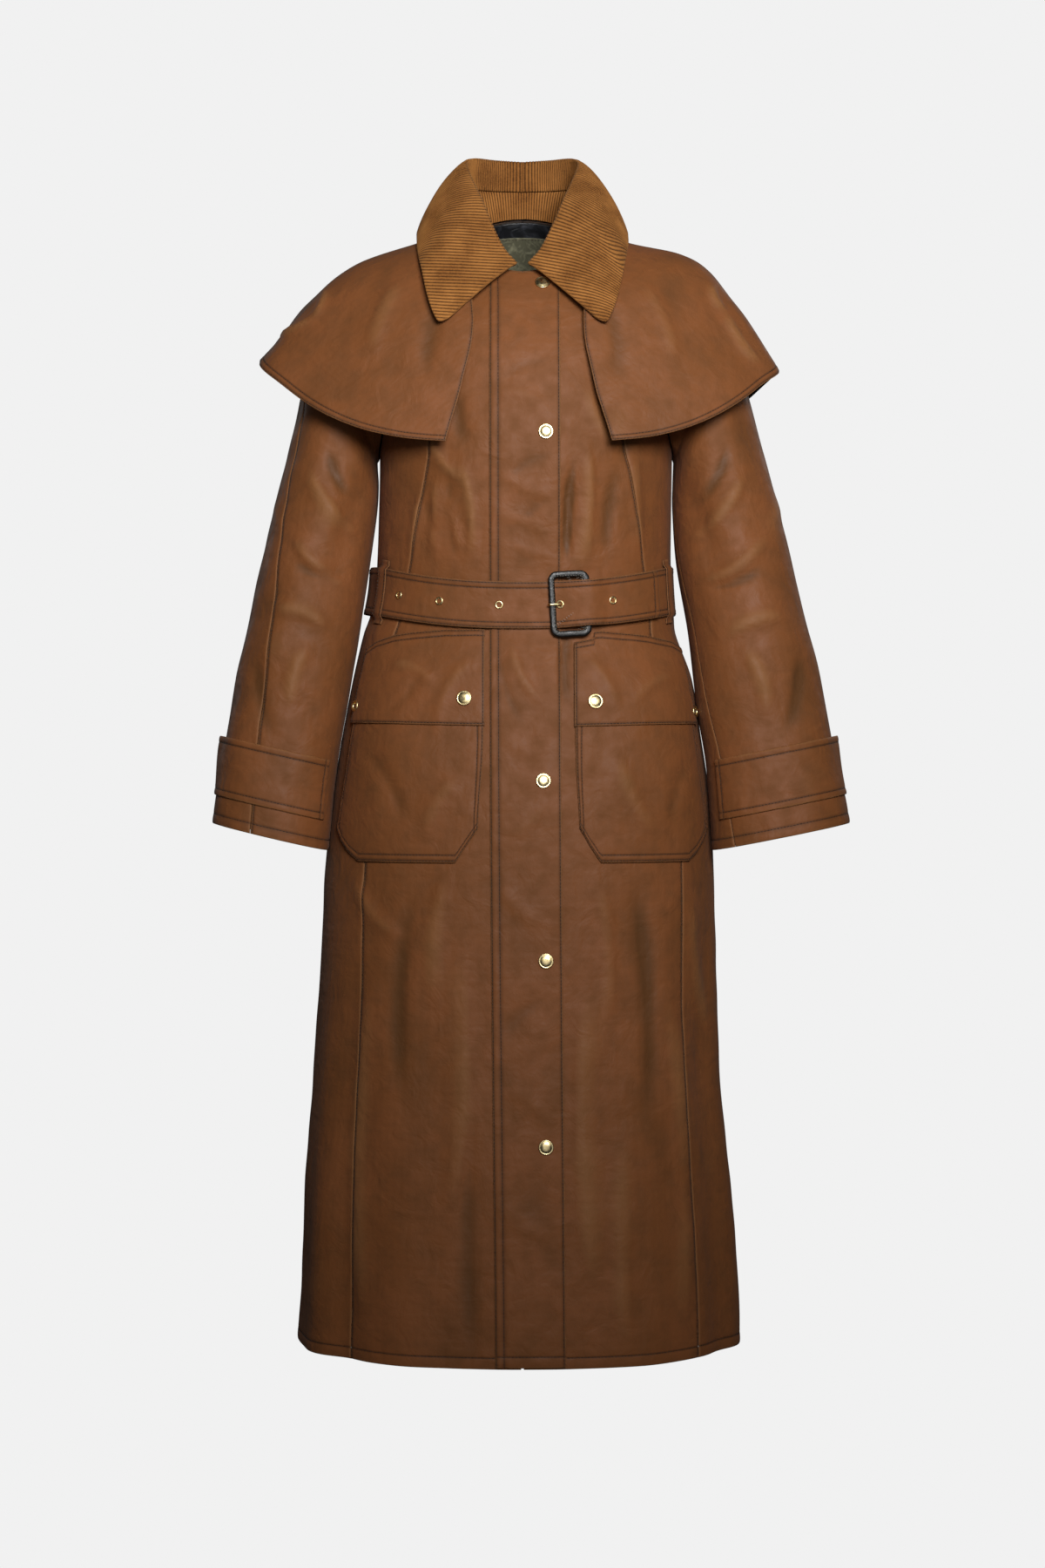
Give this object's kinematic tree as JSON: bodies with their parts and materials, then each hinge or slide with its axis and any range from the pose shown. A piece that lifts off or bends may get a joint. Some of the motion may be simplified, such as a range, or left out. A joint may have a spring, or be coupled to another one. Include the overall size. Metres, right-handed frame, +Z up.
{
  "type": "long belted coat with shoulder cape, filled out with no wearer",
  "caption": "Long belted waxed-cotton coat with a shoulder cape, corduroy collar, storm fly with brass studs, two flap pockets and cuff tabs, filled out with no wearer.",
  "frame": {"origin": "middle of the coat at the base of the neck, level with where the shoulders carry it", "axes": "+Z up, the front faces -Y, +X is the wearer's left side"},
  "size_m": [0.6452, 0.3366, 1.2297],
  "materials": {
    "waxed_cotton": "waxed",
    "corduroy": "matte",
    "lining_black": "matte",
    "patch_olive": "matte",
    "brass": "polished",
    "buckle_leather": "semi-gloss"
  },
  "bodies": {
    "root": {"front_right": "waxed_cotton", "front_left": "waxed_cotton", "side_front_right": "waxed_cotton", "side_front_left": "waxed_cotton", "back_right": "waxed_cotton", "back_left": "waxed_cotton", "skirt_front_right": "waxed_cotton", "skirt_front_left": "waxed_cotton", "skirt_side_front_right": "waxed_cotton", "skirt_side_front_left": "waxed_cotton", "skirt_back_right": "waxed_cotton", "skirt_back_left": "waxed_cotton", "storm_fly": "waxed_cotton", "cape_right": "waxed_cotton", "cape_left": "waxed_cotton", "sleeve_front_right": "waxed_cotton", "sleeve_front_left": "waxed_cotton", "sleeve_back_right": "waxed_cotton", "sleeve_back_left": "waxed_cotton", "cuff_tab_right": "waxed_cotton", "cuff_tab_left": "waxed_cotton", "pocket_right": "waxed_cotton", "pocket_left": "waxed_cotton", "flap_right": "waxed_cotton", "flap_left": "waxed_cotton", "belt": "waxed_cotton", "belt_loop_right": "waxed_cotton", "belt_loop_left": "waxed_cotton", "buckle_prong": "brass", "belt_eyelet_1": "brass", "belt_eyelet_2": "brass", "belt_eyelet_3": "brass", "belt_eyelet_4": "brass", "belt_eyelet_5": "brass", "fly_stud_1": "brass", "fly_stud_2": "brass", "fly_stud_3": "brass", "fly_stud_4": "brass", "fly_stud_5": "brass", "flap_stud_right": "brass", "flap_stud_left": "brass", "vent_ring_right": "brass", "vent_ring_left": "brass", "collar": "corduroy", "collar_stand": "corduroy", "cape_lining": "lining_black", "neck_lining": "lining_black", "neck_patch": "patch_olive", "buckle": "buckle_leather"}
  },
  "joints": []
}
